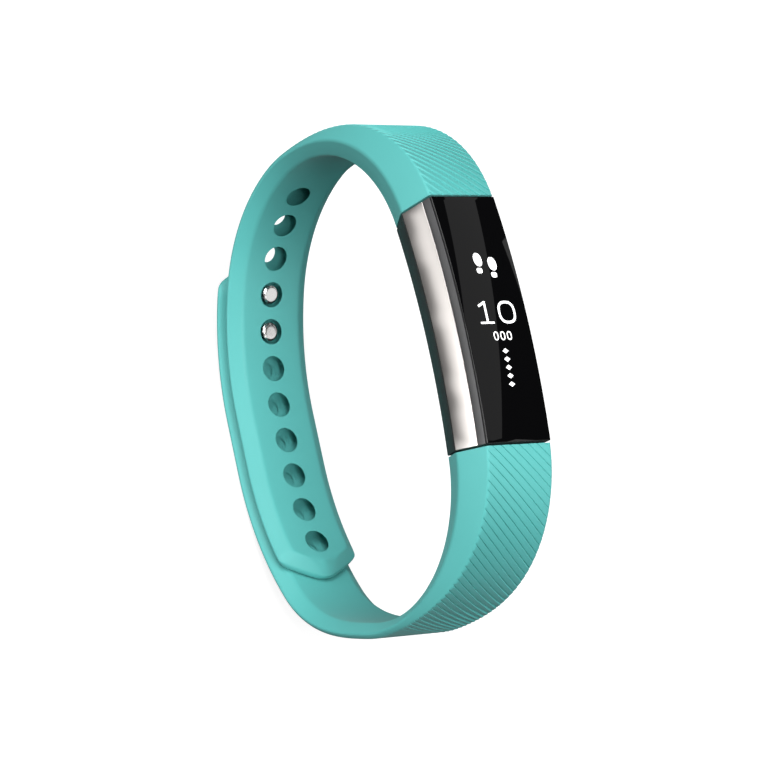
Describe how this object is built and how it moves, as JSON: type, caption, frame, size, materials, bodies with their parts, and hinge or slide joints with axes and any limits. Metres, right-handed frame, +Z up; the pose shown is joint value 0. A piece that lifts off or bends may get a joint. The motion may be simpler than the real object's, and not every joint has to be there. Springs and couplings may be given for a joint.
{
  "type": "fitness tracker band",
  "caption": "Slim fitness tracker with a curved glass display on a two-piece teal wristband, closed by a pegged clasp.",
  "frame": {"origin": "on the table, under the middle of the closed band, which stands on the outside of its clasp side", "axes": "+Z up out of the display, +Y towards the strap with the holes, X across the width of the band"},
  "size_m": [0.015, 0.077, 0.063],
  "materials": {
    "teal_elastomer": "matt moulded elastomer",
    "brushed_case_steel": "satin brushed",
    "polished_steel": "polished",
    "black_plastic": "fine matt moulded",
    "frame_plastic": "satin moulded",
    "display_glass": "polished, black behind",
    "contact_gold": "plated",
    "circuit_board": "solder mask",
    "battery_foil": "foil",
    "seal_rubber": "matt"
  },
  "bodies": {
    "band": {"perforated_strap": "teal_elastomer", "peg_strap": "teal_elastomer", "upper_latch_frame": "black_plastic", "lower_latch_frame": "black_plastic", "upper_latch_spring": "polished_steel", "lower_latch_spring": "polished_steel"},
    "tracker": {"base_cover": "black_plastic", "charge_contact_1": "contact_gold", "charge_contact_2": "contact_gold", "charge_contact_3": "contact_gold", "case_shell": "brushed_case_steel", "lens_frame": "frame_plastic", "lens": "display_glass", "seal_ring": "seal_rubber", "display_panel": "display_glass", "battery": "battery_foil", "main_board": "circuit_board", "processor": "black_plastic", "motion_sensor": "black_plastic", "vibration_motor": "brushed_case_steel"},
    "clasp_end": {"peg_strap_tail": "teal_elastomer", "clasp_bar": "polished_steel", "clasp_peg_1": "polished_steel", "clasp_peg_2": "polished_steel"},
    "upper_button": {"upper_latch_button": "polished_steel"},
    "lower_button": {"lower_latch_button": "polished_steel"}
  },
  "joints": [
    {"name": "tracker_lift", "type": "slide", "parent": "band", "child": "tracker", "axis": [0, 0, 1], "range_m": [0, 0.016]},
    {"name": "clasp_open", "type": "hinge", "parent": "band", "child": "clasp_end", "pos_m": [0, -0.03064, 0.00919], "axis": [-1, 0, 0], "range_deg": [0, 75], "stiffness_Nm_per_rad": 0.02, "springref_deg": -5.73},
    {"name": "upper_latch_press", "type": "slide", "parent": "band", "child": "upper_button", "axis": [0, 0.272, 0.9623], "range_m": [0, 0.0008], "stiffness_N_per_m": 300, "springref_m": -0.001, "deforming": ["upper_latch_spring"]},
    {"name": "lower_latch_press", "type": "slide", "parent": "band", "child": "lower_button", "axis": [0, -0.272, 0.9623], "range_m": [0, 0.0008], "stiffness_N_per_m": 300, "springref_m": -0.001, "deforming": ["lower_latch_spring"]}
  ]
}
